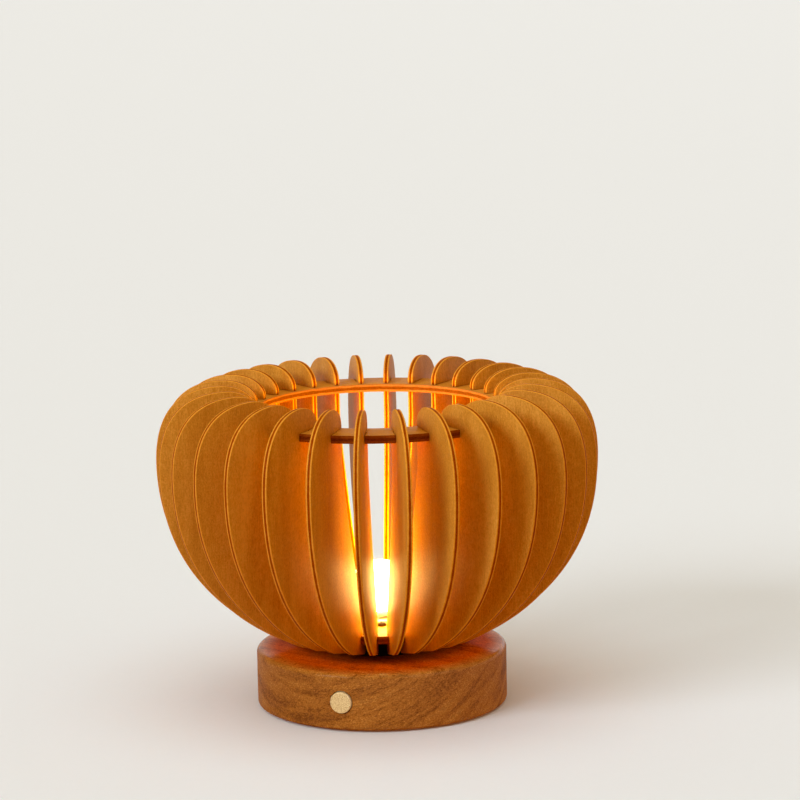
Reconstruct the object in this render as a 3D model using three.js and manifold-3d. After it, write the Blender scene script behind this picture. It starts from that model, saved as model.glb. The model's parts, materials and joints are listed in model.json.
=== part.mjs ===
// Small rechargeable table lamp of wood.
// A turned base holds a battery, a charge socket and a push button. A bowl shaped
// shade of thin plywood fins stands on it, and a frosted pin bulb glows inside.
// Millimetres, +Z up. The origin is the middle of the lamp, on the surface that it
// stands on. The push button faces -Y and the charge socket faces +Y.

import * as THREE from 'three';
import { mergeVertices } from 'three/addons/utils/BufferGeometryUtils.js';
import Module from 'manifold-3d';

const wasm = await Module();
wasm.setup();

// Clearances
const seatGap = 0.1; // between two flat faces that seat on each other
const slideGap = 0.3; // round a piece that moves or passes through a hole
const lapGap = 0.15; // between a fin and each wall of the slot that holds it
const threadGap = 0.1; // round a screw in its pilot hole, or a pin in its socket
const overrun = 1; // how far a cutter passes the face that it cuts

// Base, a turned puck that is hollow from below
const baseRadius = 47.5;
const baseHeight = 22.1; // from the floor to the top face
const baseTopRounding = 1.8;
const baseFootRounding = 1.2;
const baseWall = 11; // wood round the hollow
const hollowHeadroom = 3.6; // between the battery and the top of the hollow
const leadHoleRadius = 3.6;

// Cover, pad and screws under the base
const padThickness = 0.6;
const padMargin = 1.55; // between the pad and the heads of the cover's screws
const coverInset = 4.5; // wood round the cover
const coverThickness = 2.4;
const coverScrewCount = 4;
const coverScrewTurn = 45; // degrees from +X to the first screw
const coverScrewRadius = 1.3;
const coverScrewHeadRadius = 2.7;
const coverScrewHeadDepth = 1.5;
const coverScrewLength = 9;

// Circuit board on the cover's posts
const boardWidth = 22;
const boardEndGap = 3; // between an end of the board and the side of the hollow
const boardThickness = 1.6;
const boardCorner = 2.5;
const postHeight = 2.6;
const postRadius = 2.4;
const postSideInset = 3; // from the board's sides to the middle of a post
const postEndInset = 10.5; // from the board's ends
const boardScrewRadius = 0.8;
const boardScrewHeadRadius = 1.7;
const boardScrewHeadHeight = 1.2;
const boardScrewGrip = 3.4; // length of the screw below the board

// Battery on the board
const batteryWidth = 20;
const batteryEndRoom = 15.5; // board left free at each end of the battery
const batteryThickness = 5;
const batteryCorner = 1.6;

// Push button and its switch
const buttonRadius = 4.1;
const buttonProud = 0.9; // how far it stands out of the base
const buttonRounding = 0.5;
const buttonWall = 5.5; // wood between the base's side and the button's flange
const buttonFlangeLip = 1.5; // of the flange outside the button's side
const buttonFlangeThickness = 1.4;
const buttonStemRadius = 2.4;
const buttonStemLength = 2.4;
const buttonTravel = 0.8;
const plungerRadius = 1.7;
const plungerLength = 5.4;
const plungerSeat = 2; // length of the plunger inside the switch at rest
const switchAxisHeight = 3.85; // of the plunger and the button above the board
const switchWidth = 7;
const switchDepth = 6;
const switchAboveAxis = 3.4;

// Charge socket and the way through the wood to it
const chargeShellWidth = 8.94;
const chargeShellHeight = 3.26;
const chargeShellWall = 0.3;
const chargeShellLength = 7.35;
const chargeShellBack = 0.8;
const chargeOverhang = 1.3; // past the end of the board
const tongueWidth = 6.69;
const tongueThickness = 0.7;
const tongueSetback = 0.9;
const plugWayWidth = 13;
const plugWayHeight = 7.4;

// Spacer and lower plate, which carry the shade
const spacerSetback = 3; // between the spacer's side and the fins
const spacerHeight = 6.8;
const plateRadius = 29.3;
const plateThickness = 3;
const shadeScrewCount = 3;
const shadeScrewCircle = 12.3;
const shadeScrewRadius = 1;
const shadeScrewHeadRadius = 1.9;
const shadeScrewHeadHeight = 1.5;
const shadeScrewGrip = 4.6; // length of the screw in the base's wood

// Fins; their heights are taken from the outer end of the fin's own foot
const finCount = 30;
const finThickness = 2;
const finHeight = 96.3;
const finBellyReach = 24; // from the upper ring's edge out to the belly
const finBellyHeight = 67.6;
const finFootOverlap = 6.3; // how far the foot reaches in over the lower plate
const finFootWidth = 14.4;
const finFootDrop = 2.2; // how far the foot's outer end reaches below the lower plate
const finFootFall = 2.9; // how much lower the foot's inner end lies than its outer end
const finFootCorner = 1.4;
const finLobeWidth = 12; // from the inner edge out to where the top is highest
const finLobeDepth = 7.6; // from the top down to the inner edge
const finNeckSetback = 1.1; // of the inner edge outside the upper ring's mouth
const finNeckLength = 8.4; // of the upright inner edge below the upper ring
const finWaistLength = 2.8; // of the upright inner edge above the lower plate
const widestGapTurn = 20.1; // degrees from -Y towards +X, the middle of the widest gap
const widestGapExtra = 1.2; // degrees by which that gap is wider than the others

// Handles of the fin's curves, each as shares of its radius and height
const lowerHandleShares = [[0.732, 0.156], [1, 0.472]]; // of the belly
const upperHandleShares = [[1, 0.919], [0.872, 1]]; // of the belly radius and full height
const innerHandleShares = [[1, 0.895], [0.739, 0.414]]; // of the neck

// Upper ring
const ringOuterRadius = 59.4;
const ringWidth = 14.5;
const ringThickness = 3;
const ringBelowLobe = 1.3; // its top face below the lobe of the fins

// Lamp socket in the spacer and the lower plate
const lampSocketRadius = 5.5;
const lampSocketChamfer = 0.5;
const lampSocketFlangeRadius = 7.5;
const lampSocketFlangeHeight = 2;
const lampSocketProud = 0.3; // above the lower plate
const pinSpacing = 4;
const pinRadius = 0.4;
const pinPlugged = 6; // length of a pin inside the lamp socket
const pinSeat = 1; // length of a pin inside the bulb's base

// Bulb
const bulbGap = 1.2; // bare pins between the lamp socket and the bulb
const bulbBaseRadius = 4.6;
const bulbBaseHeight = 2;
const bulbBaseChamfer = 0.8;
const bulbNeckHeight = 1.6; // of the base inside the globe
const bulbHeight = 18.8; // of the frosted globe
const bulbWall = 0.9;
const bulbMouthRadius = 4.8;
const bulbSwell = 14; // reach of the two handles that round the globe's side
const bulbSwellShares = [0.16, 1]; // heights of those handles in the globe's height
const stemWidth = 5;
const stemThickness = 1.2;
const stemHeadroom = 5.2; // between the stem and the top of the globe

// Leads inside the base
const leadRadius = 0.65;
const lampLeadSpacing = 3;
const lampLeadOverBattery = 1.2;
const lampLeadReach = 3; // from the end of the battery to the solder point
const batteryLeadSpacing = 8;
const batteryLeadReach = 3; // from the end of the battery to the solder point

// Steps on round shapes
const baseSides = 52;
const ringSides = 60;
const midSides = 30;
const smallSides = 14;
const tinySides = 10;
const leadSides = 6;
const roundingSteps = 3;
const lowerSteps = 14;
const upperSteps = 8;
const lobeSteps = 5;
const innerSteps = 7;
const cornerSteps = 2;
const gapSteps = 2;
const bulbSteps = 7;
const leadSteps = 10;

// Levels that follow from the sizes above
const coverBottom = padThickness + seatGap;
const coverTop = coverBottom + coverThickness;
const postTop = coverTop + postHeight;
const boardBottom = postTop + seatGap;
const boardTop = boardBottom + boardThickness;
const onBoard = boardTop + seatGap;
const batteryTop = onBoard + batteryThickness;
const hollowTop = batteryTop + hollowHeadroom;
const buttonHeight = onBoard + switchAxisHeight;
const chargeAxis = onBoard + chargeShellHeight / 2;
const spacerBottom = baseHeight + seatGap;
const spacerTop = spacerBottom + spacerHeight;
const plateBottom = spacerTop + seatGap;
const plateTop = plateBottom + plateThickness;
const finFootLevel = plateBottom - finFootDrop;
const ringRise = finHeight - finLobeDepth - ringBelowLobe - ringThickness;
const finNeckHeight = ringRise - finNeckLength;
const finWaistHeight = finFootDrop + plateThickness + finWaistLength;
const ringBottom = finFootLevel + ringRise;
const lampSocketTop = plateTop + lampSocketProud;
const bulbBottom = lampSocketTop + bulbGap;
const bulbShoulder = bulbBottom + bulbBaseHeight;
const bulbNeckTop = bulbShoulder + bulbNeckHeight;
const globeBottom = bulbShoulder + seatGap;
const globeTop = globeBottom + bulbHeight;

// Radii that follow; at a lap radius a fin and the piece that it crosses share a lap
const hollowRadius = baseRadius - baseWall;
const coverRadius = baseRadius - coverInset;
const coverScrewCircle = (hollowRadius + coverRadius) / 2;
const padRadius = coverScrewCircle - coverScrewHeadRadius - padMargin;
const buttonFlangeRadius = buttonRadius + buttonFlangeLip;
const ringInnerRadius = ringOuterRadius - ringWidth;
const finBellyRadius = ringOuterRadius + finBellyReach;
const finNeckRadius = ringInnerRadius + finNeckSetback;
const finLobeRadius = finNeckRadius + finLobeWidth;
const finFootInnerRadius = plateRadius - finFootOverlap;
const finFootOuterRadius = finFootInnerRadius + finFootWidth;
const spacerRadius = finFootInnerRadius - spacerSetback;
const ringLapRadius = (finNeckRadius + ringOuterRadius) / 2;
const plateLapRadius = (finFootInnerRadius + plateRadius) / 2;

// Lengths and places along the board
const boardLength = 2 * (hollowRadius - boardEndGap);
const batteryLength = boardLength - 2 * batteryEndRoom;
const lampLeadEnd = batteryLength / 2 + lampLeadReach;

// Places along -Y of the button and of what is behind it
const buttonFace = baseRadius + buttonProud;
const flangeSeat = baseRadius - buttonWall;
const flangeFront = flangeSeat - seatGap;
const stemFront = flangeFront - buttonFlangeThickness;
const stemBack = stemFront - buttonStemLength;
const plungerFront = stemBack - seatGap;
const plungerBack = plungerFront - plungerLength;
const switchFront = plungerBack + plungerSeat;

const finWood = new THREE.MeshStandardMaterial({ color: 0xc27a2e, roughness: 0.62, metalness: 0 });
const ringWood = new THREE.MeshStandardMaterial({ color: 0xb96f2a, roughness: 0.62, metalness: 0 });
const baseWood = new THREE.MeshStandardMaterial({ color: 0x9a6430, roughness: 0.5, metalness: 0 });
const creamPlastic = new THREE.MeshStandardMaterial({ color: 0xe6d3a6, roughness: 0.55, metalness: 0 });
const blackPlastic = new THREE.MeshStandardMaterial({ color: 0x17130f, roughness: 0.6, metalness: 0 });
const whitePlastic = new THREE.MeshStandardMaterial({ color: 0xefeae0, roughness: 0.5, metalness: 0 });
const greenBoard = new THREE.MeshStandardMaterial({ color: 0x1e5a36, roughness: 0.45, metalness: 0 });
const steel = new THREE.MeshStandardMaterial({ color: 0xb4b4b0, roughness: 0.35, metalness: 1 });
const darkSteel = new THREE.MeshStandardMaterial({ color: 0x3a3128, roughness: 0.45, metalness: 1 });
const pouchFoil = new THREE.MeshStandardMaterial({ color: 0xa9abb0, roughness: 0.4, metalness: 0.6 });
const frostedGlass = new THREE.MeshStandardMaterial({ color: 0xfff3d8, roughness: 0.35, metalness: 0 });
const rubber = new THREE.MeshStandardMaterial({ color: 0x24211e, roughness: 0.9, metalness: 0 });
const redSleeve = new THREE.MeshStandardMaterial({ color: 0xa92a20, roughness: 0.5, metalness: 0 });
const blackSleeve = new THREE.MeshStandardMaterial({ color: 0x1b1b1b, roughness: 0.5, metalness: 0 });

const lamp = new THREE.Group();

// Welds the corners of a mesh together and drops faces that have no area.
function welded(geometry) {
  const loose = geometry.clone();
  loose.deleteAttribute('normal');
  loose.deleteAttribute('uv');
  const mesh = mergeVertices(loose);
  const kept = [];
  for (let i = 0; i < mesh.index.count; i += 3) {
    const [a, b, c] = [mesh.index.getX(i), mesh.index.getX(i + 1), mesh.index.getX(i + 2)];
    if (a !== b && b !== c && c !== a) kept.push(a, b, c);
  }
  mesh.setIndex(kept);
  return mesh;
}

function solidOf(geometry) {
  const mesh = welded(geometry);
  const vertProperties = mesh.attributes.position.array;
  const triVerts = new Uint32Array(mesh.index.array);
  return new wasm.Manifold(new wasm.Mesh({ numProp: 3, vertProperties, triVerts }));
}

function geometryOf(solid) {
  const mesh = solid.getMesh();
  const geometry = new THREE.BufferGeometry();
  geometry.setAttribute('position', new THREE.BufferAttribute(mesh.vertProperties, mesh.numProp));
  geometry.setIndex(new THREE.BufferAttribute(mesh.triVerts, 1));
  return geometry;
}

function joined(bodies) {
  return geometryOf(bodies.map(solidOf).reduce((all, body) => all.add(body)));
}

function cut(body, cutters) {
  return geometryOf(cutters.map(solidOf).reduce((left, cutter) => left.subtract(cutter), solidOf(body)));
}

function addPiece(name, geometry, material, turn = 0) {
  const shaped = welded(geometry);
  shaped.computeVertexNormals();
  const mesh = new THREE.Mesh(shaped, material);
  mesh.name = name;
  mesh.rotation.z = turn;
  lamp.add(mesh);
}

// Numbered copies of a piece, one at each place.
function addEach(name, geometry, material, places) {
  copies(geometry, places).forEach((copy, index) => addPiece(`${name}_${index + 1}`, copy, material));
}

function radians(degrees) {
  return THREE.MathUtils.degToRad(degrees);
}

// A body turned about +Z, from [radius, height] points that run up its outside.
function turned(profile, sides) {
  const points = profile.map(([radius, height]) => new THREE.Vector2(radius, height));
  const geometry = new THREE.LatheGeometry(points, sides);
  geometry.rotateX(Math.PI / 2);
  return geometry;
}

// Lays a body that was made along +Z down along -Y, at a height.
function laidForward(geometry, height) {
  geometry.rotateX(Math.PI / 2);
  geometry.translate(0, 0, height);
  return geometry;
}

// Lays a body that was made along +Z down along +Y, at a height.
function laidBack(geometry, height) {
  geometry.rotateX(-Math.PI / 2);
  geometry.translate(0, 0, height);
  return geometry;
}

function rod(radius, low, high, sides) {
  return turned([[0, low], [radius, low], [radius, high], [0, high]], sides);
}

// A box given by its lowest and highest corners.
function block(low, high) {
  const geometry = new THREE.BoxGeometry(...high.map((value, axis) => value - low[axis]));
  geometry.translate(...high.map((value, axis) => (value + low[axis]) / 2));
  return geometry;
}

// A plate that stands up from a level, from its outline in X and Y.
function slab(outline, low, high, holes = []) {
  const shape = new THREE.Shape(outline);
  for (const hole of holes) shape.holes.push(new THREE.Path(hole));
  const geometry = new THREE.ExtrudeGeometry(shape, { depth: high - low, bevelEnabled: false });
  geometry.translate(0, 0, low);
  return geometry;
}

// Points of an arc with two half axes; for a circle they are the same.
function arc(middle, halfAxes, from, to, steps) {
  return Array.from({ length: steps + 1 }, (_, index) => {
    const angle = from + ((to - from) * index) / steps;
    return [middle[0] + halfAxes[0] * Math.cos(angle), middle[1] + halfAxes[1] * Math.sin(angle)];
  });
}

function roundArc(middle, radius, from, to, steps) {
  return arc(middle, [radius, radius], from, to, steps);
}

function bezier(corners, steps) {
  const curve = new THREE.CubicBezierCurve(...corners.map(([x, y]) => new THREE.Vector2(x, y)));
  return curve.getPoints(steps).map((point) => [point.x, point.y]);
}

function outlineOf(points) {
  return points.map(([x, y]) => new THREE.Vector2(x, y));
}

function circle([x, y], radius, sides) {
  return outlineOf(roundArc([x, y], radius, 0, 2 * Math.PI, sides).slice(0, sides));
}

function roundedRectangle(width, length, corner) {
  const [dx, dy] = [width / 2 - corner, length / 2 - corner];
  const middles = [[dx, dy], [-dx, dy], [-dx, -dy], [dx, -dy]];
  const quarter = Math.PI / 2;
  return outlineOf(middles.flatMap((middle, index) => (
    roundArc(middle, corner, index * quarter, (index + 1) * quarter, roundingSteps))));
}

// An outline with two straight sides and two round ends.
function stadium(width, height) {
  const [dx, radius] = [(width - height) / 2, height / 2];
  const quarter = Math.PI / 2;
  return outlineOf([
    ...roundArc([dx, 0], radius, -quarter, quarter, 2 * roundingSteps),
    ...roundArc([-dx, 0], radius, quarter, 3 * quarter, 2 * roundingSteps),
  ]);
}

// A tube along points placed by hand, with its bends rounded by the spline.
function tube(points) {
  const route = points.map((point) => new THREE.Vector3(...point));
  const path = new THREE.CatmullRomCurve3(route, false, 'centripetal');
  const section = new THREE.Shape(circle([0, 0], leadRadius, leadSides));
  return new THREE.ExtrudeGeometry(section, { extrudePath: path, steps: leadSteps, bevelEnabled: false });
}

function along(turn, [x, y]) {
  return [x * Math.cos(turn) - y * Math.sin(turn), x * Math.sin(turn) + y * Math.cos(turn)];
}

function aroundCircle(radius, count, first) {
  return Array.from({ length: count }, (_, index) => (
    along(first + (2 * Math.PI * index) / count, [radius, 0])));
}

// Directions of the fins, in even steps from one side of the widest gap to the other.
function finTurns() {
  const spacing = radians((360 - widestGapExtra) / finCount);
  const first = widestGapDirection() + radians(widestGapExtra) / 2 + spacing / 2;
  return Array.from({ length: finCount }, (_, index) => first + index * spacing);
}

function widestGapDirection() {
  return radians(widestGapTurn) - Math.PI / 2;
}

// One of the shade's screws faces the widest gap.
function shadeScrewPlaces() {
  return aroundCircle(shadeScrewCircle, shadeScrewCount, widestGapDirection());
}

function coverScrewPlaces() {
  return aroundCircle(coverScrewCircle, coverScrewCount, radians(coverScrewTurn));
}

function postPlaces() {
  const [x, y] = [boardWidth / 2 - postSideInset, boardLength / 2 - postEndInset];
  return [[x, y], [-x, y], [-x, -y], [x, -y]];
}

// Two of the posts, across the board from each other, take its screws.
function boardScrewPlaces() {
  return postPlaces().filter((_, index) => index % 2 === 0);
}

function pinPlaces() {
  return [[0, pinSpacing / 2], [0, -pinSpacing / 2]];
}

// Copies of a body, one moved to each place.
function copies(body, places) {
  return places.map(([x, y]) => body.clone().translate(x, y, 0));
}

function rods(places, radius, low, high, sides) {
  return copies(rod(radius, low, high, sides), places);
}

// Outline of a disc whose edge has one slot, open outwards, for each fin.
function slottedDisc(radius, lapRadius) {
  const halfSlot = finThickness / 2 + lapGap;
  const slotFloor = lapRadius - lapGap;
  const mouth = Math.sqrt(radius ** 2 - halfSlot ** 2);
  const mouthTurn = Math.asin(halfSlot / radius);
  const turns = finTurns();
  return outlineOf(turns.flatMap((turn, index) => {
    const next = index + 1 < turns.length ? turns[index + 1] : turns[0] + 2 * Math.PI;
    const slot = [[mouth, -halfSlot], [slotFloor, -halfSlot], [slotFloor, halfSlot]];
    const edge = roundArc([0, 0], radius, turn + mouthTurn, next - mouthTurn, gapSteps);
    return [...slot.map((point) => along(turn, point)), ...edge.slice(0, gapSteps)];
  }));
}

// Outline of a fin as [radius, height above its foot's outer end], with the two
// notches that lap it onto the lower plate and the upper ring.
function finOutline() {
  const belly = [finBellyRadius, finBellyHeight];
  const top = [finLobeRadius, finHeight];
  const neck = [finNeckRadius, finNeckHeight];
  const handle = ([radius, height], shares) => [radius * shares[0], height * shares[1]];
  const lowerHandles = lowerHandleShares.map((shares) => handle(belly, shares));
  const upperHandles = upperHandleShares.map((shares) => handle([finBellyRadius, finHeight], shares));
  const innerHandles = innerHandleShares.map((shares) => handle(neck, shares));
  const lobeMiddle = [finLobeRadius, finHeight - finLobeDepth];
  const lobeAxes = [finLobeRadius - finNeckRadius, finLobeDepth];
  const cornerMiddle = [finFootInnerRadius + finFootCorner, finFootCorner - finFootFall];
  return outlineOf([
    ...bezier([[finFootOuterRadius, 0], ...lowerHandles, belly], lowerSteps),
    ...bezier([belly, ...upperHandles, top], upperSteps).slice(1),
    ...arc(lobeMiddle, lobeAxes, Math.PI / 2, Math.PI, lobeSteps).slice(1),
    ...notch(finNeckRadius, ringLapRadius, ringRise, ringRise + ringThickness),
    ...bezier([neck, ...innerHandles, [finFootInnerRadius, finWaistHeight]], innerSteps),
    ...notch(finFootInnerRadius, plateLapRadius, finFootDrop, finFootDrop + plateThickness),
    ...roundArc(cornerMiddle, finFootCorner, Math.PI, (3 * Math.PI) / 2, cornerSteps),
  ]);
}

// Corners of a notch in a fin's inner edge, from its upper lip to its lower one.
function notch(edge, floor, low, high) {
  return [[edge, high + lapGap], [floor, high + lapGap], [floor, low - lapGap], [edge, low - lapGap]];
}

function makeFin() {
  const geometry = slab(finOutline(), -finThickness / 2, finThickness / 2);
  geometry.rotateX(Math.PI / 2);
  geometry.translate(0, 0, finFootLevel);
  return geometry;
}

function makeUpperRing() {
  const mouth = circle([0, 0], ringInnerRadius, ringSides);
  return slab(slottedDisc(ringOuterRadius, ringLapRadius), ringBottom, ringBottom + ringThickness, [mouth]);
}

function makeLowerPlate() {
  const holes = [circle([0, 0], lampSocketRadius + slideGap, midSides)];
  for (const place of shadeScrewPlaces()) holes.push(circle(place, shadeScrewRadius + slideGap, tinySides));
  return slab(slottedDisc(plateRadius, plateLapRadius), plateBottom, plateTop, holes);
}

function makeSpacer() {
  const bore = lampSocketRadius + slideGap;
  const recess = lampSocketFlangeRadius + slideGap;
  const recessTop = spacerBottom + lampSocketFlangeHeight + seatGap;
  const ring = turned([
    [recess, spacerBottom],
    [spacerRadius, spacerBottom],
    [spacerRadius, spacerTop],
    [bore, spacerTop],
    [bore, recessTop],
    [recess, recessTop],
    [recess, spacerBottom],
  ], midSides);
  const low = spacerBottom - overrun;
  const high = spacerTop + overrun;
  return cut(ring, rods(shadeScrewPlaces(), shadeScrewRadius + slideGap, low, high, tinySides));
}

// A pan head screw through the plate and the spacer into the base.
function makeShadeScrew() {
  const seat = plateTop + seatGap;
  const headTop = seat + shadeScrewHeadHeight;
  const dome = arc([0, seat], [shadeScrewHeadRadius, shadeScrewHeadHeight], 0, Math.PI / 2, roundingSteps);
  return turned([
    [0, baseHeight - shadeScrewGrip],
    [shadeScrewRadius, baseHeight - shadeScrewGrip + shadeScrewRadius],
    [shadeScrewRadius, seat],
    ...dome.slice(0, roundingSteps),
    [0, headTop],
  ], smallSides);
}

function makeLampSocket() {
  const flangeTop = spacerBottom + lampSocketFlangeHeight;
  const body = turned([
    [0, spacerBottom],
    [lampSocketFlangeRadius, spacerBottom],
    [lampSocketFlangeRadius, flangeTop],
    [lampSocketRadius, flangeTop],
    [lampSocketRadius, lampSocketTop - lampSocketChamfer],
    [lampSocketRadius - lampSocketChamfer, lampSocketTop],
    [0, lampSocketTop],
  ], midSides);
  const low = lampSocketTop - pinPlugged - seatGap;
  return cut(body, rods(pinPlaces(), pinRadius + threadGap, low, lampSocketTop + overrun, tinySides));
}

// The bulb's base with its two pins, which stand in the lamp socket.
function makeBulbBase() {
  const neckRadius = bulbMouthRadius - bulbWall - slideGap;
  const body = turned([
    [0, bulbBottom],
    [bulbBaseRadius - bulbBaseChamfer, bulbBottom],
    [bulbBaseRadius, bulbBottom + bulbBaseChamfer],
    [bulbBaseRadius, bulbShoulder],
    [neckRadius, bulbShoulder],
    [neckRadius, bulbNeckTop],
    [0, bulbNeckTop],
  ], midSides);
  const [pinLow, pinHigh] = [lampSocketTop - pinPlugged, bulbBottom + pinSeat];
  return joined([body, ...rods(pinPlaces(), pinRadius, pinLow, pinHigh, tinySides)]);
}

// One wall of the globe, from its mouth to its top.
function globeWall(mouth, swell, top) {
  const [lower, upper] = bulbSwellShares.map((share) => [swell, globeBottom + share * (top - globeBottom)]);
  return bezier([[mouth, globeBottom], lower, upper, [0, top]], bulbSteps);
}

function makeGlobe() {
  const outside = globeWall(bulbMouthRadius, bulbSwell, globeTop);
  const innerSwell = bulbSwell - (4 * bulbWall) / 3; // the handles move the wall by 3/4
  const inside = globeWall(bulbMouthRadius - bulbWall, innerSwell, globeTop - bulbWall);
  return turned([...outside, ...inside.reverse(), outside[0]], midSides);
}

function makeStem() {
  const low = bulbNeckTop + seatGap;
  const [x, y] = [stemWidth / 2, stemThickness / 2];
  return block([-x, -y, low], [x, y, globeTop - stemHeadroom]);
}

// The wood of the base: its hollow, the rebate for the cover and every hole.
function makeBase() {
  const topMiddle = [baseRadius - baseTopRounding, baseHeight - baseTopRounding];
  const footMiddle = [baseRadius - baseFootRounding, coverBottom + baseFootRounding];
  const rebateRadius = coverRadius + slideGap;
  const rebateTop = coverTop + seatGap;
  const body = turned([
    [leadHoleRadius, hollowTop],
    [hollowRadius, hollowTop],
    [hollowRadius, rebateTop],
    [rebateRadius, rebateTop],
    [rebateRadius, coverBottom],
    ...roundArc(footMiddle, baseFootRounding, -Math.PI / 2, 0, roundingSteps),
    ...roundArc(topMiddle, baseTopRounding, 0, Math.PI / 2, roundingSteps),
    [leadHoleRadius, baseHeight],
    [leadHoleRadius, hollowTop],
  ], baseSides);
  const inside = hollowRadius - overrun;
  const outside = baseRadius + overrun;
  const screwTop = coverBottom + coverScrewLength + threadGap;
  const screwTip = baseHeight - shadeScrewGrip - threadGap;
  return cut(body, [
    laidForward(rod(buttonRadius + slideGap, inside, outside, midSides), buttonHeight),
    laidForward(rod(buttonFlangeRadius + slideGap, inside, flangeSeat, midSides), buttonHeight),
    laidBack(slab(stadium(plugWayWidth, plugWayHeight), inside, outside), chargeAxis),
    ...rods(coverScrewPlaces(), coverScrewRadius + threadGap, coverTop, screwTop, smallSides),
    ...rods(shadeScrewPlaces(), shadeScrewRadius + threadGap, screwTip, baseHeight + overrun, smallSides),
  ]);
}

// The cover with its four board posts, countersunk for the screws.
function makeCover() {
  const disc = rod(coverRadius, coverBottom, coverTop, baseSides);
  const body = joined([disc, ...rods(postPlaces(), postRadius, coverBottom, postTop, smallSides)]);
  const sink = turned([
    [0, coverBottom - overrun],
    [coverScrewHeadRadius + slideGap, coverBottom - overrun],
    [coverScrewHeadRadius + slideGap, coverBottom],
    [coverScrewRadius + slideGap, coverBottom + coverScrewHeadDepth],
    [coverScrewRadius + slideGap, coverTop + overrun],
    [0, coverTop + overrun],
  ], smallSides);
  const screwTip = boardBottom - boardScrewGrip - threadGap;
  return cut(body, [
    ...copies(sink, coverScrewPlaces()),
    ...rods(boardScrewPlaces(), boardScrewRadius + threadGap, screwTip, postTop + overrun, tinySides),
  ]);
}

function makeCoverScrew() {
  return turned([
    [0, coverBottom],
    [coverScrewHeadRadius, coverBottom],
    [coverScrewRadius, coverBottom + coverScrewHeadDepth],
    [coverScrewRadius, coverBottom + coverScrewLength - coverScrewRadius],
    [0, coverBottom + coverScrewLength],
  ], smallSides);
}

function makePad() {
  return slab(circle([0, 0], padRadius, ringSides), 0, padThickness);
}

// The button's cap, with the flange that keeps it in the wood and the stem behind.
function makeButton() {
  const edge = [buttonRadius - buttonRounding, buttonFace - buttonRounding];
  return laidForward(turned([
    [0, stemBack],
    [buttonStemRadius, stemBack],
    [buttonStemRadius, stemFront],
    [buttonFlangeRadius, stemFront],
    [buttonFlangeRadius, flangeFront],
    [buttonRadius, flangeFront],
    ...roundArc(edge, buttonRounding, 0, Math.PI / 2, roundingSteps),
    [0, buttonFace],
  ], midSides), buttonHeight);
}

function makePlunger() {
  return laidForward(rod(plungerRadius, plungerBack, plungerFront, smallSides), buttonHeight);
}

function makeSwitch() {
  const x = switchWidth / 2;
  const [y, top] = [switchDepth - switchFront, buttonHeight + switchAboveAxis];
  const body = block([-x, -switchFront, onBoard], [x, y, top]);
  const boreBack = plungerBack - buttonTravel - slideGap;
  return cut(body, [
    laidForward(rod(plungerRadius + slideGap, boreBack, switchFront + overrun, smallSides), buttonHeight),
  ]);
}

function makeBoard() {
  const holes = boardScrewPlaces().map((place) => circle(place, boardScrewRadius + slideGap, tinySides));
  return slab(roundedRectangle(boardWidth, boardLength, boardCorner), boardBottom, boardTop, holes);
}

function makeBoardScrew() {
  const seat = boardTop + seatGap;
  const axes = [boardScrewHeadRadius, boardScrewHeadHeight];
  return turned([
    [0, boardBottom - boardScrewGrip],
    [boardScrewRadius, boardBottom - boardScrewGrip],
    [boardScrewRadius, seat],
    ...arc([0, seat], axes, 0, Math.PI / 2, roundingSteps).slice(0, roundingSteps),
    [0, seat + boardScrewHeadHeight],
  ], tinySides);
}

function makeBattery() {
  return slab(roundedRectangle(batteryWidth, batteryLength, batteryCorner), onBoard, batteryTop);
}

// The charge socket: a stadium tube, open to the back of the lamp, with its tongue.
function makeChargeSocket() {
  const mouth = boardLength / 2 + chargeOverhang;
  const inside = mouth - chargeShellLength;
  const width = chargeShellWidth - 2 * chargeShellWall;
  const height = chargeShellHeight - 2 * chargeShellWall;
  const shell = slab(stadium(chargeShellWidth, chargeShellHeight), inside, mouth);
  const hollow = slab(stadium(width, height), inside + chargeShellBack, mouth + overrun);
  const [x, y] = [tongueWidth / 2, tongueThickness / 2];
  const tongue = block([-x, -y, inside], [x, y, mouth - tongueSetback]);
  return laidBack(joined([cut(shell, [hollow]), tongue]), chargeAxis);
}

// A lead from under the lamp socket, over the battery and down to the board.
function makeLampLead(side) {
  const x = (side * lampLeadSpacing) / 2;
  const level = batteryTop + lampLeadOverBattery + leadRadius;
  const drop = lampLeadEnd - leadRadius;
  return tube([
    [x, 0, spacerBottom - seatGap],
    [x, 0, hollowTop],
    [x, leadHoleRadius, level],
    [x, batteryLength / 2, level],
    [x, drop, (level + onBoard) / 2],
    [x, lampLeadEnd, onBoard],
  ]);
}

// A lead from the end of the battery down to the board.
function makeBatteryLead(side) {
  const x = (side * batteryLeadSpacing) / 2;
  const end = -batteryLength / 2 - seatGap;
  const level = (onBoard + batteryTop) / 2;
  return tube([
    [x, end, level],
    [x, end - batteryLeadReach / 2, level],
    [x, end - batteryLeadReach, (level + onBoard) / 2],
    [x, end - batteryLeadReach, onBoard],
  ]);
}

// Shade
const finGeometry = makeFin();
finTurns().forEach((turn, index) => {
  addPiece(`fin_${String(index + 1).padStart(2, '0')}`, finGeometry, finWood, turn);
});
addPiece('upper_ring', makeUpperRing(), ringWood);
addPiece('lower_plate', makeLowerPlate(), ringWood);
addPiece('shade_spacer', makeSpacer(), blackPlastic);
addEach('shade_screw', makeShadeScrew(), darkSteel, shadeScrewPlaces());

// Bulb and its socket
addPiece('lamp_socket', makeLampSocket(), whitePlastic);
addPiece('bulb_base', makeBulbBase(), whitePlastic);
addPiece('bulb_stem', makeStem(), whitePlastic);
addPiece('bulb_globe', makeGlobe(), frostedGlass);

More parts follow.
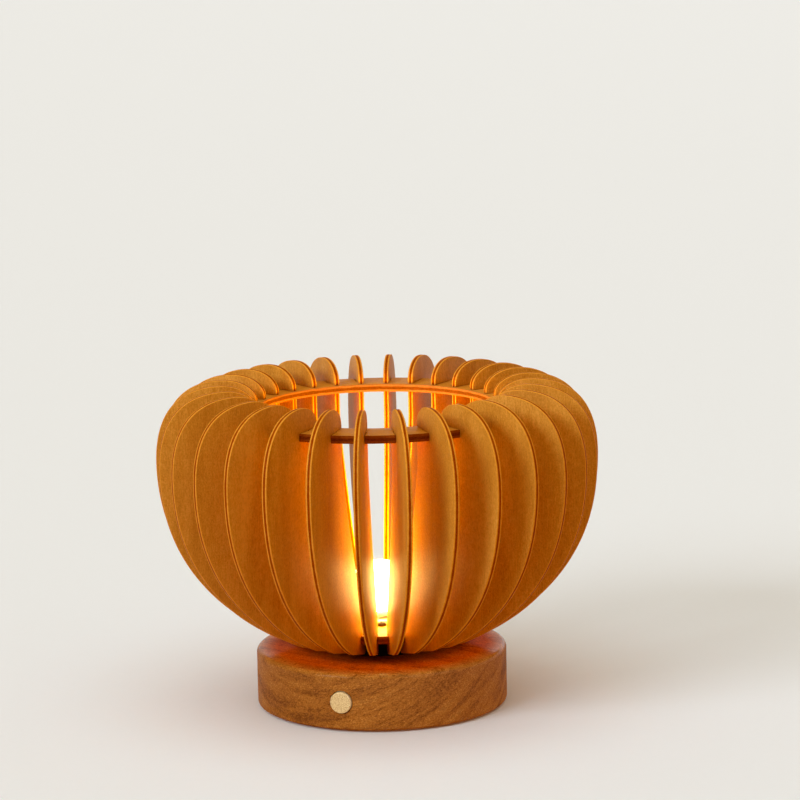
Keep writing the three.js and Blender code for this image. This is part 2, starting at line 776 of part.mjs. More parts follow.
// Base
addPiece('base_body', makeBase(), baseWood);
addPiece('base_cover', makeCover(), blackPlastic);
addEach('cover_screw', makeCoverScrew(), steel, coverScrewPlaces());
addPiece('anti_slip_pad', makePad(), rubber);

// Button and switch
addPiece('push_button', makeButton(), creamPlastic);
addPiece('switch_plunger', makePlunger(), blackPlastic);
addPiece('switch_housing', makeSwitch(), blackPlastic);

// Electrics in the base
addPiece('circuit_board', makeBoard(), greenBoard);
addEach('board_screw', makeBoardScrew(), steel, boardScrewPlaces());
addPiece('battery_cell', makeBattery(), pouchFoil);
addPiece('charge_socket', makeChargeSocket(), steel);
addPiece('lamp_lead_red', makeLampLead(1), redSleeve);
addPiece('lamp_lead_black', makeLampLead(-1), blackSleeve);
addPiece('battery_lead_red', makeBatteryLead(1), redSleeve);
addPiece('battery_lead_black', makeBatteryLead(-1), blackSleeve);

export default lamp;
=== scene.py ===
import json
from math import asin, atan2, cos, hypot, pi, radians, sin, sqrt

import bmesh
import bpy
import numpy as np
from mathutils import Matrix, Vector
from mathutils.geometry import tessellate_polygon


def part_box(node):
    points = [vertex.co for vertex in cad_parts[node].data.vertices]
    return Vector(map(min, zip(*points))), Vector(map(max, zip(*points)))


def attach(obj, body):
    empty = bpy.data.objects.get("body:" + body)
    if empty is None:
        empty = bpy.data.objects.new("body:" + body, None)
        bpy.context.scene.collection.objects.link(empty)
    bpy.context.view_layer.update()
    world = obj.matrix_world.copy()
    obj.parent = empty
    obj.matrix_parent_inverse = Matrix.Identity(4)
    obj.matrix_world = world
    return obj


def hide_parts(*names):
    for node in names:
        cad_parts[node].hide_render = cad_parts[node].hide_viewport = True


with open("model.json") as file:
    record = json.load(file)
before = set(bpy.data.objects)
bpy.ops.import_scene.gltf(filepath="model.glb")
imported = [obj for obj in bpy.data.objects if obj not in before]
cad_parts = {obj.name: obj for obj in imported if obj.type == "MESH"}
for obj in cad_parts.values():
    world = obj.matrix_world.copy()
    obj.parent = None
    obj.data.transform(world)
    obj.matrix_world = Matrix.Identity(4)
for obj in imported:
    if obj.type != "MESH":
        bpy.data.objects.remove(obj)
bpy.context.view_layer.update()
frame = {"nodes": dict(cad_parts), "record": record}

# Camera, fitted to the photograph; its aim is given in its own heading
PHOTO_WIDTH = 800  # pixels
FOCAL_PIXELS = 3679.4
SENSOR_WIDTH = 36  # millimetres
CAMERA_AZIMUTH = radians(18.61)
CAMERA_ELEVATION = radians(10.521)
CAMERA_ROLL = radians(-1.191)
CAMERA_DISTANCE = 1.3848
CAMERA_AIM = Vector((0.008962, 0, 0.116204))
CAMERA_NEAR = 0.05
CAMERA_FAR = 40
HEADING = Matrix.Rotation(CAMERA_AZIMUTH, 3, "Z")

# Fins
FIN_THICKNESS = 0.002
FIN_ROUNDING = 0.00022
BELLY_RADIUS = 0.0834
BELLY_HEIGHT = 0.0676  # above the outer end of the foot, as the other heights on the fin
FOOT_INNER_RADIUS = 0.023
FOOT_OUTER_RADIUS = 0.0374
FOOT_CORNER = 0.0014
FOOT_FALL = 0.0029  # of the foot's lower edge towards the axis
LOBE_RADIUS = 0.058
LOBE_DEPTH = 0.0076
NECK_RADIUS = 0.046
NECK_HEIGHT = 0.076
WAIST_HEIGHT = 0.008
LOWER_HANDLE_SHARES = ((0.732, 0.156), (1, 0.472))
UPPER_HANDLE_SHARES = ((1, 0.919), (0.872, 1))
INNER_HANDLE_SHARES = ((1, 0.895), (0.739, 0.414))
LAP_GAP = 0.00015
GRAIN_SEED = 7
GRAIN_SPREAD = 3  # metres of wood, within which each fin has its own place

# Ring and plate
RING_OUTER_RADIUS = 0.0594
RING_INNER_RADIUS = 0.0449
PLATE_RADIUS = 0.0293
PLATE_ROUNDING = 0.00025
RING_LAP_RADIUS = (NECK_RADIUS + RING_OUTER_RADIUS) / 2
PLATE_LAP_RADIUS = (FOOT_INNER_RADIUS + PLATE_RADIUS) / 2
SOCKET_HOLE_RADIUS = 0.0058
SCREW_HOLE_RADIUS = 0.0013
RING_GRAIN_PLACE = (0.4, 0.4, 0.4)
PLATE_GRAIN_PLACE = (1.7, 1.7, 1.7)

# Base
BASE_RADIUS = 0.0475
BASE_TOP_ROUNDING = 0.0018
BASE_FOOT_ROUNDING = 0.0012
HOLLOW_RADIUS = 0.0365
HOLLOW_TOP = 0.0161
REBATE_RADIUS = 0.0433
SEAT_GAP = 0.0001
LEAD_HOLE_RADIUS = 0.0036
RIM_EASING = 0.00012
BUTTON_HOLE_RADIUS = 0.0044
BUTTON_RECESS_RADIUS = 0.0059
BUTTON_WALL = 0.0055
PLUG_WAY = (0.013, 0.0074)
CUTTER_OVERRUN = 0.001
CUTTER_ROUNDING = 0.00001
WAY_INSIDE = HOLLOW_RADIUS - CUTTER_OVERRUN  # where the ways through the base's side start
WAY_OUTSIDE = BASE_RADIUS + CUTTER_OVERRUN
SOFT_EDGE = 0.00012
SOFTEN_ABOVE = radians(40)
BASE_FIBRE = Vector((1, 0, 0.4))  # in the camera's heading, as the next one
BASE_THROUGH = Vector((-0.4, -0.5, 1))
BASE_GRAIN_PLACE = (0.3, 0.1, 0.2)

# Cover, pad and screws under the base
COVER_RADIUS = 0.043
COVER_THICKNESS = 0.0024
COVER_ROUNDING = 0.0003
POST_RADIUS = 0.0024
POST_PLACES = ((0.008, 0.023), (-0.008, 0.023), (-0.008, -0.023), (0.008, -0.023))
COVER_SCREW_RADIUS = 0.0013
COVER_HEAD_RADIUS = 0.0027
COVER_HEAD_DEPTH = 0.0015
COVER_SINK_GAP = 0.0003
COVER_RECESS_REACH = 0.00154
PAD_RADIUS = 0.0355

# Button
BUTTON_RADIUS = 0.0041
BUTTON_ROUNDING = 0.0005
BUTTON_FLANGE_RADIUS = 0.0056
BUTTON_FLANGE_THICKNESS = 0.0014
BUTTON_FLANGE_SETBACK = 0.0065  # behind the button's face
BUTTON_STEM_RADIUS = 0.0024

# Spacer, lamp socket and shade screws
SPACER_RADIUS = 0.02
SPACER_ROUNDING = 0.0003
SOCKET_RADIUS = 0.0055
SOCKET_CHAMFER = 0.0005
SOCKET_FLANGE_RADIUS = 0.0075
SOCKET_FLANGE_HEIGHT = 0.002
SHADE_SCREW_RADIUS = 0.001
SHADE_HEAD_RADIUS = 0.0019
SHADE_HEAD_HEIGHT = 0.0015
SHADE_RECESS_REACH = 0.0011
RECESS_WIDTH = 0.00055
RECESS_DEPTH = 0.0008

# Bulb
PIN_RADIUS = 0.0004
PIN_SPACING = 0.004
PIN_LENGTH = 0.0082
PIN_HOLE_RADIUS = 0.0005
BULB_NECK_HEIGHT = 0.0016
BULB_BASE_RADIUS = 0.0046
BULB_BASE_CHAMFER = 0.0008
BULB_BASE_HEIGHT = 0.002
BULB_NECK_RADIUS = 0.0036
BULB_MOUTH_RADIUS = 0.0048
BULB_WALL = 0.0009
BULB_SWELL = 0.014
BULB_LOWER_SHARE = 0.16  # of its height, where the lower handle of its side lies

# Charge socket
SHELL_SIZE = (0.00894, 0.00326)
SHELL_WALL = 0.0003
SHELL_BACK = 0.0008
TONGUE_SIZE = (0.00669, 0.0007)
TONGUE_SETBACK = 0.0009

# Floor, flat in the middle and curved up past that
FLOOR_FLAT_RADIUS = 5.0
FLOOR_MIDDLE_RADIUS = 0.2  # of the innermost ring of its points
FLOOR_CURVE_RADIUS = 3.0

# Lights, placed in the camera's heading; lit names the group of pieces that a sun lights,
# and its spread is in degrees
TOWARD_KEY = Vector((-0.74, -0.68, 0.36))
TOWARD_TOP = Vector((0, -0.2, 1))
TOWARD_FILL = Vector((0.75, -0.65, 0.3))
STRAIGHT_UP = Vector((0, 0, 1))
SUNS = (
    dict(name="key", lit="lamp", toward=TOWARD_KEY, strength=2.9, spread=36, colour=(0.93, 1, 0.8)),
    dict(name="top", lit="lamp", toward=TOWARD_TOP, strength=0.95, spread=60, colour=(0.8, 1, 0.5)),
    dict(name="base_fill", lit="base", toward=TOWARD_FILL, strength=1.45, spread=60, colour=(1, 1, 1)),
    dict(name="floor_key", lit="floor", toward=TOWARD_KEY, strength=3.05, spread=36,
         colour=(0.91, 0.95, 1)),
    dict(name="floor_top", lit="floor", toward=TOWARD_TOP, strength=1.03, spread=60,
         colour=(0.73, 0.9, 1)),
    dict(name="floor_fill", lit="floor", toward=STRAIGHT_UP, strength=0.6, spread=170,
         colour=(0.05, 0.74, 1)),
)
WORLD_COLOUR = (1, 0.48, 0.103)
WORLD_STRENGTH = 0.562
GLOW_PLACE = Vector((0, -0.006, 0.06))
GLOW_RADIUS = 0.026
GLOW_POWER = 0.5  # watts
GLOW_COLOUR = (1, 0.57, 0.06)

# Picture
BLOOM_THRESHOLD = 1.2
BLOOM_SIZE = 5
BLOOM_MIX = -0.8  # from -1, the picture without its bloom, to 1, the bloom alone
SATURATION = 1.007


def srgb(red, green, blue):
    """A colour as read from a screen, from 0 to 255, in the linear values that shaders use."""
    return tuple(
        value / 255 / 12.92 if value <= 10 else ((value / 255 + 0.055) / 1.055) ** 2.4
        for value in (red, green, blue)
    )


# Outlines


def arc(middle, axes, start, end, steps):
    """Points on a stretch of an ellipse with two half axes."""
    turns = np.linspace(start, end, steps + 1)
    return [(middle[0] + axes[0] * cos(a), middle[1] + axes[1] * sin(a)) for a in turns]


def circle(middle, radius, sides):
    return arc(middle, (radius, radius), 0, 2 * pi, sides)[:-1]


def bezier(start, handle, second_handle, end, steps):
    points = np.array([start, handle, second_handle, end], float)
    t = np.linspace(0, 1, steps + 1)[:, None]
    weights = np.hstack([(1 - t) ** 3, 3 * t * (1 - t) ** 2, 3 * t**2 * (1 - t), t**3])
    return [tuple(point) for point in weights @ points]


def stadium(width, height, steps=16):
    """An outline with two straight sides and two round ends."""
    radius = height / 2
    reach = width / 2 - radius
    right = arc((reach, 0), (radius, radius), -pi / 2, pi / 2, steps)
    left = arc((-reach, 0), (radius, radius), pi / 2, 3 * pi / 2, steps)
    return right + left


def rectangle(width, height):
    x, y = width / 2, height / 2
    return [(-x, -y), (x, -y), (x, y), (-x, y)]


def cross(reach, width):
    """Outline of a plus sign, counter-clockwise."""
    half = width / 2
    quarter = [(reach, -half), (reach, half), (half, half)]
    return [turned_point(k * pi / 2, point) for k in range(4) for point in quarter]


def disc_profile(radius, low, high, rounding):
    """Profile of a disc with a rounded rim, from its axis below to its axis above."""
    inset = radius - rounding
    lower = arc((inset, low + rounding), (rounding, rounding), -pi / 2, 0, steps=6)
    upper = arc((inset, high - rounding), (rounding, rounding), 0, pi / 2, steps=6)
    return [(0, low), *lower, *upper, (0, high)]


def turned_point(turn, point):
    x, y = point
    return (x * cos(turn) - y * sin(turn), x * sin(turn) + y * cos(turn))


def offset_loop(loop, distance):
    """A closed outline moved to its left by a distance, with mitred corners."""
    points = np.array(loop, float)
    ahead = np.roll(points, -1, axis=0) - points
    ahead /= np.linalg.norm(ahead, axis=1, keepdims=True)
    left = np.stack([-ahead[:, 1], ahead[:, 0]], axis=1)
    before = np.roll(left, 1, axis=0)
    mitre = (before + left) / (1 + (before * left).sum(axis=1, keepdims=True))
    return points + distance * mitre


# Meshes


SMOOTH_BELOW = radians(35)
NO_LENGTH = 1e-9
FACE, OUTER_RIM, HOLE_RIM = 0, 1, 2  # the materials of a slab

# Lays a body that was made along Z down along -Y or +Y
FORWARD = Matrix.Rotation(pi / 2, 4, "X")
BACKWARD = Matrix.Rotation(-pi / 2, 4, "X")


def new_mesh(name, points, faces):
    mesh = bpy.data.meshes.new(name)
    mesh.from_pydata([tuple(p) for p in points], [], faces)
    return smoothed(mesh)


def smoothed(mesh):
    """The mesh shaded smooth, but for its sharp edges."""
    mesh.polygons.foreach_set("use_smooth", [True] * len(mesh.polygons))
    mesh.set_sharp_from_angle(angle=SMOOTH_BELOW)
    return mesh


def slab_rim(low, high, rounding, steps):
    """Inset and level of each row of points on a slab's rim, from below to above."""
    bends = [k * pi / 2 / steps for k in range(steps + 1)]
    lower = [(rounding * (1 - sin(a)), low + rounding * (1 - cos(a))) for a in bends]
    return lower + [(inset, low + high - level) for inset, level in reversed(lower)]


def slab_face(points, starts, counts, upward):
    """Triangles that fill the space between closed rows of points on one level."""
    rows = [range(start, start + count) for start, count in zip(starts, counts)]
    index = [k for row in rows for k in row]
    faces = []
    for triangle in tessellate_polygon([[Vector(points[k]) for k in row] for row in rows]):
        corners = [index[k] for k in triangle]
        a, b, c = (Vector(points[k]) for k in corners)
        turns_left = (b - a).cross(c - a).z > 0
        faces.append(corners if turns_left == upward else corners[::-1])
    return faces


def rounded_slab(name, loops, low, high, rounding, steps=3):
    """A plate between two levels from its outline and holes, with rounded rims.

    The outer loop runs counter-clockwise and the holes clockwise."""
    rim = slab_rim(low, high, rounding, steps)
    counts = [len(loop) for loop in loops]
    points, faces, finishes, bottoms, tops = [], [], [], [], []
    for loop, count in zip(loops, counts):
        first = len(points)
        for inset, level in rim:
            points += [(x, y, level) for x, y in offset_loop(loop, inset)]
        for start in range(first, len(points) - count, count):
            for k in range(count):
                a, b = start + k, start + (k + 1) % count
                faces.append((a, b, b + count, a + count))
        finishes += [HOLE_RIM if bottoms else OUTER_RIM] * (len(faces) - len(finishes))
        bottoms.append(first)
        tops.append(len(points) - count)
    faces += slab_face(points, bottoms, counts, upward=False)
    faces += slab_face(points, tops, counts, upward=True)
    mesh = new_mesh(name, points, faces)
    finishes += [FACE] * (len(faces) - len(finishes))
    mesh.polygons.foreach_set("material_index", finishes)
    return mesh


def lathe(name, profile, sides=128):
    """A body turned about Z, from (radius, height) points that run up its outside.

    The profile starts and ends on the axis, or closes on itself."""
    (first_x, first_y), (last_x, last_y) = profile[0], profile[-1]
    closed = hypot(first_x - last_x, first_y - last_y) < NO_LENGTH
    rows = profile[:-1] if closed else profile
    points, index = [], []
    for radius, height in rows:
        if radius < NO_LENGTH:
            index.append([len(points)] * sides)
            points.append((0, 0, height))
            continue
        index.append(list(range(len(points), len(points) + sides)))
        points += [(radius * cos(a), radius * sin(a), height)
                   for a in np.linspace(0, 2 * pi, sides, endpoint=False)]
    faces = []
    following = index[1:] + index[:1] if closed else index[1:]
    for lower, upper in zip(index, following):
        for k in range(sides):
            after = (k + 1) % sides
            corners = dict.fromkeys((lower[k], lower[after], upper[after], upper[k]))
            if len(corners) > 2:
                faces.append(tuple(corners))
    return new_mesh(name, points, faces)


def piece_from(mesh, materials, body, nodes, name=None):
    """Adds a piece that rides on a body and stands for CAD nodes."""
    piece = bpy.data.objects.new(name or mesh.name, mesh)
    bpy.context.scene.collection.objects.link(piece)
    for material in materials:
        mesh.materials.append(material)
    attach(piece, body)
    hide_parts(*nodes)


def carve(mesh, cutters):
    """The mesh with the cutters taken out of it."""
    collection = bpy.context.scene.collection
    body = bpy.data.objects.new("carved", mesh)
    collection.objects.link(body)
    helpers = []
    for cutter in cutters:
        helper = bpy.data.objects.new("cutter", cutter)
        collection.objects.link(helper)
        helpers.append(helper)
        modifier = body.modifiers.new("cut", "BOOLEAN")
        modifier.operation = "DIFFERENCE"
        modifier.solver = "EXACT"
        modifier.object = helper
    bpy.context.view_layer.update()
    depsgraph = bpy.context.evaluated_depsgraph_get()
    made = bpy.data.meshes.new_from_object(body.evaluated_get(depsgraph))
    for helper in [body, *helpers]:
        bpy.data.objects.remove(helper)
    made.name = mesh.name + "_carved"
    return smoothed(made)


def merged(name, meshes):
    """Several closed bodies as one mesh."""
    whole = bmesh.new()
    for mesh in meshes:
        whole.from_mesh(mesh)
    mesh = bpy.data.meshes.new(name)
    whole.to_mesh(mesh)
    whole.free()
    return mesh


def rod(middle, radius, low, high, sides=32):
    mesh = lathe("rod", [(0, low), (radius, low), (radius, high), (0, high)], sides)
    mesh.transform(Matrix.Translation((*middle, 0)))
    return mesh


def middle_of(node):
    low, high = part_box(node)
    return ((low.x + high.x) / 2, (low.y + high.y) / 2)


def nodes_named(stem):
    return sorted(name for name in frame["nodes"] if name.startswith(stem))


FINS = nodes_named("fin_")
SHADE_SCREWS = nodes_named("shade_screw_")
COVER_SCREWS = nodes_named("cover_screw_")
BOARD_SCREWS = nodes_named("board_screw_")


def levels(node):
    """The lowest and the highest level of a node."""
    return tuple(corner.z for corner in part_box(node))


def set_grain(mesh, across, through, fibre, shift):
    """Stores where each point lies in the wood: its third coordinate runs along the fibres."""
    points = np.array([v.co for v in mesh.vertices])
    axes = np.array([across, through, fibre], float)
    grain = points @ axes.T + np.array(shift)
    attribute = mesh.attributes.new("grain", "FLOAT_VECTOR", "POINT")
    attribute.data.foreach_set("vector", grain.astype(np.float32).ravel())


def set_layer(mesh, direction, middle, half):
    """Stores where each point lies across a sheet, from -1 to 1."""
    points = np.array([v.co for v in mesh.vertices])
    layer = (points @ np.array(direction, float) - middle) / half
    attribute = mesh.attributes.new("layer", "FLOAT", "POINT")
    attribute.data.foreach_set("value", layer.astype(np.float32))


# Materials


class Finish:
    """One node-based material, and short names for the nodes that it is made of."""

    def __init__(self, name, **shader):
        self.material = bpy.data.materials.new(name)
        self.material.use_nodes = True
        self.tree = self.material.node_tree
        self.shader = self.tree.nodes["Principled BSDF"]
        for socket, value in shader.items():
            self.set(socket.replace("_", " "), value)

    def set(self, socket, value):
        self.feed(self.shader.inputs[socket], value)

    def feed(self, socket, value):
        if isinstance(value, bpy.types.NodeSocket):
            self.tree.links.new(value, socket)
        elif isinstance(value, tuple) and len(value) == 3 and socket.type == "RGBA":
            socket.default_value = (*value, 1)
        else:
            socket.default_value = value

    def node(self, kind, inputs, **settings):
        node = self.tree.nodes.new(kind)
        for key, value in settings.items():
            setattr(node, key, value)
        for key, value in inputs.items():
            self.feed(node.inputs[key], value)
        return node

    def grain(self):
        return self.node("ShaderNodeAttribute", {}, attribute_name="grain").outputs["Vector"]

    def layer(self):
        return self.node("ShaderNodeAttribute", {}, attribute_name="layer").outputs["Fac"]

    def position(self):
        return self.node("ShaderNodeTexCoord", {}).outputs["Object"]

    def stretched(self, vector, scale):
        return self.node("ShaderNodeMapping", {"Vector": vector, "Scale": scale}).outputs[0]

    def noise(self, vector, scale, detail=3.0, roughness=0.5, distortion=0.0):
        """Noise with so many features to the metre along each axis."""
        inputs = {
            "Vector": self.stretched(vector, scale), "Scale": 1.0, "Detail": detail,
            "Roughness": roughness, "Distortion": distortion,
        }
        return self.node("ShaderNodeTexNoise", inputs).outputs["Fac"]

    def bands(self, vector, scale, distortion):
        """Even bands across the vector's second axis."""
        inputs = {
            "Vector": self.stretched(vector, scale), "Scale": 1.0, "Distortion": distortion,
            "Detail": 2.0,
        }
        return self.node("ShaderNodeTexWave", inputs, bands_direction="Y").outputs["Fac"]

    def spread(self, value, low, high, to=(0.0, 1.0)):
        """The value's stretch from low to high, laid over another stretch and held at its ends."""
        inputs = {
            "Value": value, "From Min": low, "From Max": high, "To Min": to[0], "To Max": to[1],
        }
        return self.node("ShaderNodeMapRange", inputs).outputs["Result"]

    def vary(self, noise, low, high):
        """Swings between two values as a noise does, which seldom leaves 0.3 to 0.7."""
        return self.spread(noise, 0.3, 0.7, to=(low, high))

    def math(self, operation, first, second=0.0):
        return self.node("ShaderNodeMath", {0: first, 1: second}, operation=operation).outputs[0]

    def times(self, first, second):
        return self.math("MULTIPLY", first, second)

    def weighted(self, *parts):
        """The sum of values, each times its weight."""
        total, *others = [self.times(value, weight) for value, weight in parts]
        for value in others:
            total = self.math("ADD", total, value)
        return total

    def vector_math(self, operation, first, second, output):
        node = self.node("ShaderNodeVectorMath", {0: first, 1: second}, operation=operation)
        return node.outputs[output]

    def mix(self, share, first, second, blend="MIX"):
        inputs = {"Factor": share, 6: first, 7: second}
        node = self.node("ShaderNodeMix", inputs, data_type="RGBA", blend_type=blend)
        return node.outputs[2]

    def ramp(self, value, stops):
        node = self.node("ShaderNodeValToRGB", {"Fac": value})
        elements = node.color_ramp.elements
        while len(elements) < len(stops):
            elements.new(1)
        for element, (position, colour) in zip(elements, stops):
            element.position = position
            element.color = (*colour, 1)
        return node.outputs["Color"]

    def bump(self, height, distance, strength):
        inputs = {"Height": height, "Distance": distance, "Strength": strength}
        return self.node("ShaderNodeBump", inputs).outputs["Normal"]


def veneer(name, dark, middle, light, pore):
    """A varnished face veneer with long fibres, a soft figure and fine pores."""
    finish = Finish(name, Specular_IOR_Level=0.2)
    grain = finish.grain()
    figure = finish.noise(grain, (70, 70, 14), distortion=0.7)
    fibres = finish.noise(grain, (2200, 2200, 260), detail=4, roughness=0.6)
    mottle = finish.noise(grain, (1700, 1700, 1300), roughness=0.75)
    pores = finish.noise(grain, (3000, 3000, 900), detail=2)
    tone = finish.weighted((figure, 0.32), (fibres, 0.28), (mottle, 0.4))
    colour = finish.ramp(tone, [(0.38, dark), (0.5, middle), (0.62, light)])
    specks = finish.spread(pores, 0.6, 0.72)
    finish.set("Base Color", finish.mix(finish.times(specks, 0.45), colour, pore))
    finish.set("Roughness", finish.vary(fibres, 0.42, 0.6))
    relief = finish.math("SUBTRACT", fibres, finish.times(specks, 0.6))
    finish.set("Normal", finish.bump(relief, distance=0.00006, strength=0.8))
    return finish.material


PLY_BLUR = 0.07  # of the joint between two layers, as a share of half the thickness


def ply_edge(name, outer, core, core_share):
    """The laser-cut edge of thin plywood: two pale outer layers and a scorched core.

    The layers have a light and a dark colour each."""
    finish = Finish(name, Specular_IOR_Level=0.06)
    grain = finish.grain()
    wobble = finish.noise(grain, (260, 260, 260), detail=2)
    fleck = finish.noise(grain, (1800, 1800, 1800))
    depth = finish.math("ABSOLUTE", finish.layer())
    depth = finish.math("ADD", depth, finish.vary(wobble, -PLY_BLUR, PLY_BLUR))
    in_outer = finish.spread(depth, core_share - PLY_BLUR, core_share + PLY_BLUR)
    outer_colour = finish.mix(finish.spread(fleck, 0.35, 0.7), outer[0], outer[1])
    core_colour = finish.mix(finish.spread(fleck, 0.4, 0.65), core[1], core[0])
    finish.set("Base Color", finish.mix(in_outer, core_colour, outer_colour))
    finish.set("Roughness", finish.vary(fleck, 0.5, 0.72))
    relief = finish.math("ADD", finish.times(in_outer, 0.6), fleck)
    finish.set("Normal", finish.bump(relief, distance=0.00008, strength=0.7))
    return finish.material


BASE_TONES = (
    (0.41, (0.15, 0.051, 0.009)),
    (0.47, (0.272, 0.106, 0.022)),
    (0.53, (0.4, 0.168, 0.036)),
    (0.59, (0.62, 0.31, 0.082)),
)
BASE_PORE = (0.12, 0.035, 0.005)
# Painted glow and shade: the base's top is made redder and darker than its side, for the orange light
# and reflection of the lit fins above it.
BASE_TOP_PAINTED_GLOW = (1.12, 0.51, 0.34)
BASE_TOP_GLOW_FADE = 0.008  # from the rim to where the top has its full painted glow
SIDE_COAT, EDGE_COAT, TOP_COAT = 0.2, 0.7, 0.06


def top_and_edge(finish, top):
    """Masks for the base's flat top and for the rounded edge round it."""
    position = finish.position()
    height = finish.node("ShaderNodeSeparateXYZ", {0: position}).outputs["Z"]
    level = finish.vector_math("MULTIPLY", position, (1, 1, 0), "Vector")
    radius = finish.vector_math("LENGTH", level, (0, 0, 0), "Value")
    inward = finish.spread(radius, BASE_RADIUS - BASE_TOP_ROUNDING / 2, BASE_RADIUS - BASE_TOP_GLOW_FADE)
    lifted = finish.spread(height, top - BASE_TOP_ROUNDING / 2, top - BASE_TOP_ROUNDING / 8)
    on_top = finish.times(lifted, inward)
    return on_top, finish.math("SUBTRACT", lifted, on_top)


def turned_wood(name, top):
    """The base's solid wood: slanting bands of short dark pores, and on its top a painted orange glow
    and shade, redder and darker, for the lit fins' light and reflection.
    """
    finish = Finish(name, Specular_IOR_Level=0.0, Coat_Roughness=0.1)
    grain = finish.grain()
    bands = finish.noise(grain, (50, 260, 16), distortion=0.5)
    dashes = finish.noise(grain, (1100, 1500, 300), detail=4, roughness=0.7)
    fleck = finish.noise(grain, (2400, 2400, 1500), roughness=0.7)
    tone = finish.weighted((bands, 0.34), (dashes, 0.3), (fleck, 0.36))
    pores = finish.spread(finish.weighted((dashes, 0.6), (bands, 0.4)), 0.53, 0.6)
    side = finish.mix(finish.times(pores, 0.6), finish.ramp(tone, BASE_TONES), BASE_PORE)
    # Painted glow and shade on the top: the side's colour, made redder and darker.
    painted_glow = finish.mix(1.0, side, BASE_TOP_PAINTED_GLOW, "MULTIPLY")
    on_top, on_edge = top_and_edge(finish, top)
    finish.set("Base Color", finish.mix(on_top, side, painted_glow))
    coat = finish.mix(on_edge, (SIDE_COAT,) * 3, (EDGE_COAT,) * 3)
    finish.set("Coat Weight", finish.mix(on_top, coat, (TOP_COAT,) * 3))
    finish.set("Roughness", finish.vary(dashes, 0.4, 0.52))
    relief = finish.math("ADD", dashes, fleck)
    finish.set("Normal", finish.bump(relief, distance=0.00005, strength=0.6))
    return finish.material


def moulded(name, colour, shade, roughness, grain_scale=2500, relief=0.00003, shine=0.5):
    """Moulded plastic or rubber with a fine matt texture and faint mottling."""
    finish = Finish(name, Specular_IOR_Level=shine)
    position = finish.position()
    fine = finish.noise(position, (grain_scale,) * 3)
    broad = finish.noise(position, (90,) * 3, detail=2)
    finish.set("Base Color", finish.mix(finish.vary(broad, 0, 1), colour, shade))
    finish.set("Roughness", finish.vary(fine, roughness - 0.06, roughness + 0.08))
    finish.set("Normal", finish.bump(fine, distance=relief, strength=0.5))
    return finish.material


def button_finish(name):
    """Pale cream, finely speckled, as end grain under a clear lacquer."""
    finish = Finish(name, Coat_Weight=0.2, Coat_Roughness=0.3)
    position = finish.position()
    specks = finish.noise(position, (2600,) * 3, roughness=0.7)
    rays = finish.noise(position, (1500, 200, 700))
    cream = finish.ramp(specks, [
        (0.38, srgb(178, 155, 115)), (0.5, srgb(220, 206, 175)), (0.62, srgb(238, 230, 207))])
    in_ray = finish.spread(rays, 0.45, 0.75, to=(0, 0.3))
    finish.set("Base Color", finish.mix(in_ray, cream, srgb(188, 168, 130)))
    finish.set("Roughness", finish.vary(specks, 0.42, 0.58))
    finish.set("Normal", finish.bump(specks, distance=0.00004, strength=0.6))
    return finish.material


def metal(name, colour, tarnish, roughness):
    """Turned metal with fine scratches and a little tarnish."""
    finish = Finish(name, Metallic=1.0)
    position = finish.position()
    scratches = finish.noise(position, (4000, 4000, 250))
    stains = finish.spread(finish.noise(position, (400,) * 3), 0.4, 0.7, to=(0, 0.6))
    finish.set("Base Color", finish.mix(stains, colour, tarnish))
    finish.set("Roughness", finish.vary(scratches, roughness - 0.08, roughness + 0.1))
    finish.set("Normal", finish.bump(scratches, distance=0.00002, strength=0.5))
    return finish.material


def lit_glass(name, glow, strength):
    """Frosted glass with the light behind it."""
    finish = Finish(name, Emission_Color=glow, Emission_Strength=strength)
    frost = finish.noise(finish.position(), (3000,) * 3)
    finish.set("Base Color", finish.mix(frost, srgb(250, 240, 220), srgb(255, 250, 238)))
    finish.set("Roughness", finish.vary(frost, 0.35, 0.5))
    finish.set("Normal", finish.bump(frost, distance=0.00003, strength=0.4))
    return finish.material


def board_finish(name):
    """Green solder mask over faint copper tracks."""
    finish = Finish(name, Coat_Weight=0.3, Coat_Roughness=0.2)
    position = finish.position()
    tracks = finish.bands(position, (0, 500, 0), distortion=3)
    weave = finish.noise(position, (1500, 1500, 100), detail=2)
    green = finish.mix(finish.spread(tracks, 0.75, 0.85), srgb(22, 74, 44), srgb(46, 112, 62))
    woven = finish.spread(weave, 0.4, 0.7, to=(0, 0.3))
    finish.set("Base Color", finish.mix(woven, green, srgb(14, 52, 32)))
    finish.set("Roughness", finish.vary(weave, 0.3, 0.42))
    finish.set("Normal", finish.bump(tracks, distance=0.00003, strength=0.5))
    return finish.material


FIN_FACE = veneer(
    "fin_face", dark=(0.47, 0.195, 0.024), middle=(0.62, 0.3, 0.05), light=(0.78, 0.42, 0.105),
    pore=(0.36, 0.135, 0.015))
FIN_EDGE = ply_edge(
    "fin_edge", outer=((0.8, 0.41, 0.085), (0.66, 0.29, 0.045)),
    core=((0.37, 0.075, 0.003), (0.25, 0.04, 0.001)), core_share=0.42)
RING_FACE = veneer(
    "ring_face", dark=(0.5, 0.19, 0.028), middle=(0.62, 0.27, 0.05), light=(0.72, 0.36, 0.09),
    pore=(0.36, 0.12, 0.015))
RING_EDGE = ply_edge(
    "ring_edge", outer=((0.5, 0.2, 0.07), (0.4, 0.15, 0.05)),
    core=((0.26, 0.08, 0.015), (0.18, 0.05, 0.008)), core_share=0.4)
